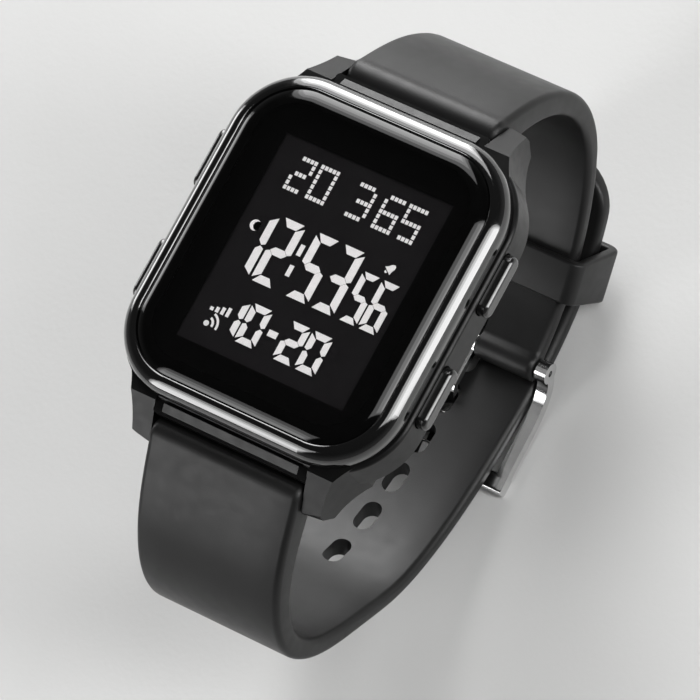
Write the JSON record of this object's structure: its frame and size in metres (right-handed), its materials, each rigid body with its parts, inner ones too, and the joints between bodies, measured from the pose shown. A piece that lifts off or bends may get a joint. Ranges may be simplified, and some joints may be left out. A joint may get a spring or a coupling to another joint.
{
  "type": "digital watch",
  "caption": "Digital wristwatch with a rounded rectangular display, gloss bezel, side buttons and a buckled silicone strap with a free keeper.",
  "frame": {"origin": "centre of the outer face of the case back", "axes": "+Z out of the dial, +Y to 12 o'clock, +X to 3 o'clock"},
  "size_m": [0.043, 0.079, 0.0603],
  "materials": {
    "bezel_gloss": "piano-black gloss moulded bezel",
    "crystal": "smoked gloss crystal with a rounded border",
    "black_print": "black print behind the crystal",
    "case_satin": "satin black moulded resin",
    "back_steel": "brushed steel",
    "screw_steel": "machined steel",
    "seal_rubber": "soft black rubber",
    "button_black": "gloss black",
    "spring_steel": "spring steel",
    "frame_plastic": "natural white moulded plastic",
    "lcd_glass": "negative display glass",
    "light_guide": "white light guide",
    "zebra_rubber": "layered conductive rubber",
    "board_green": "green lacquered board",
    "chip_resin": "black resin drop",
    "can_metal": "drawn can",
    "cell_steel": "plated steel",
    "disc_brass": "rolled brass",
    "strap_silicone": "matte black silicone",
    "buckle_steel": "polished steel"
  },
  "bodies": {
    "watch": {"bezel_ring": "bezel_gloss", "lens": "crystal", "lens_mask": "black_print", "lens_gasket": "seal_rubber", "lcd_panel": "lcd_glass", "backlight_panel": "light_guide", "zebra_strips": "zebra_rubber", "module_frame": "frame_plastic", "circuit_board": "board_green", "clock_chip": "chip_resin", "quartz_can": "can_metal", "coin_cell": "cell_steel", "battery_clip": "spring_steel", "button_contacts": "spring_steel", "module_screws": "screw_steel", "buzzer_disc": "disc_brass", "buzzer_spring": "spring_steel", "case_middle": "case_satin", "case_back": "back_steel", "back_gasket": "seal_rubber", "back_screws": "screw_steel", "button_seals": "seal_rubber", "lug_spring_bars": "screw_steel", "strap_12": "strap_silicone", "strap_6": "strap_silicone", "buckle_spring_bar": "screw_steel"},
    "upper_right_button": {"button_upper_right": "button_black", "clip_upper_right": "spring_steel"},
    "lower_right_button": {"button_lower_right": "button_black", "clip_lower_right": "spring_steel"},
    "upper_left_button": {"button_upper_left": "button_black", "clip_upper_left": "spring_steel"},
    "lower_left_button": {"button_lower_left": "button_black", "clip_lower_left": "spring_steel"},
    "frame": {"buckle_frame": "buckle_steel"},
    "tongue": {"buckle_tongue": "buckle_steel"},
    "keeper": {"strap_keeper": "strap_silicone"}
  },
  "joints": [
    {"name": "upper_right_press", "type": "slide", "parent": "watch", "child": "upper_right_button", "axis": [-1, 0, 0], "range_m": [0, 0.0007], "stiffness_N_per_m": 900, "springref_m": -0.0006},
    {"name": "lower_right_press", "type": "slide", "parent": "watch", "child": "lower_right_button", "axis": [-1, 0, 0], "range_m": [0, 0.0007], "stiffness_N_per_m": 900, "springref_m": -0.0006},
    {"name": "upper_left_press", "type": "slide", "parent": "watch", "child": "upper_left_button", "axis": [1, 0, 0], "range_m": [0, 0.0007], "stiffness_N_per_m": 900, "springref_m": -0.0006},
    {"name": "lower_left_press", "type": "slide", "parent": "watch", "child": "lower_left_button", "axis": [1, 0, 0], "range_m": [0, 0.0007], "stiffness_N_per_m": 900, "springref_m": -0.0006},
    {"name": "frame_hinge", "type": "hinge", "parent": "watch", "child": "frame", "pos_m": [0, 0.00964, -0.04202], "axis": [1, 0, 0], "range_deg": [0, 3]},
    {"name": "tongue_hinge", "type": "hinge", "parent": "frame", "child": "tongue", "pos_m": [0, 0.00964, -0.04202], "axis": [1, 0, 0], "range_deg": [0, 3]},
    {"name": "keeper_slide", "type": "hinge", "parent": "watch", "child": "keeper", "pos_m": [0, 0.0045, -0.0076], "axis": [1, 0, 0], "range_deg": [-4, 4]}
  ]
}
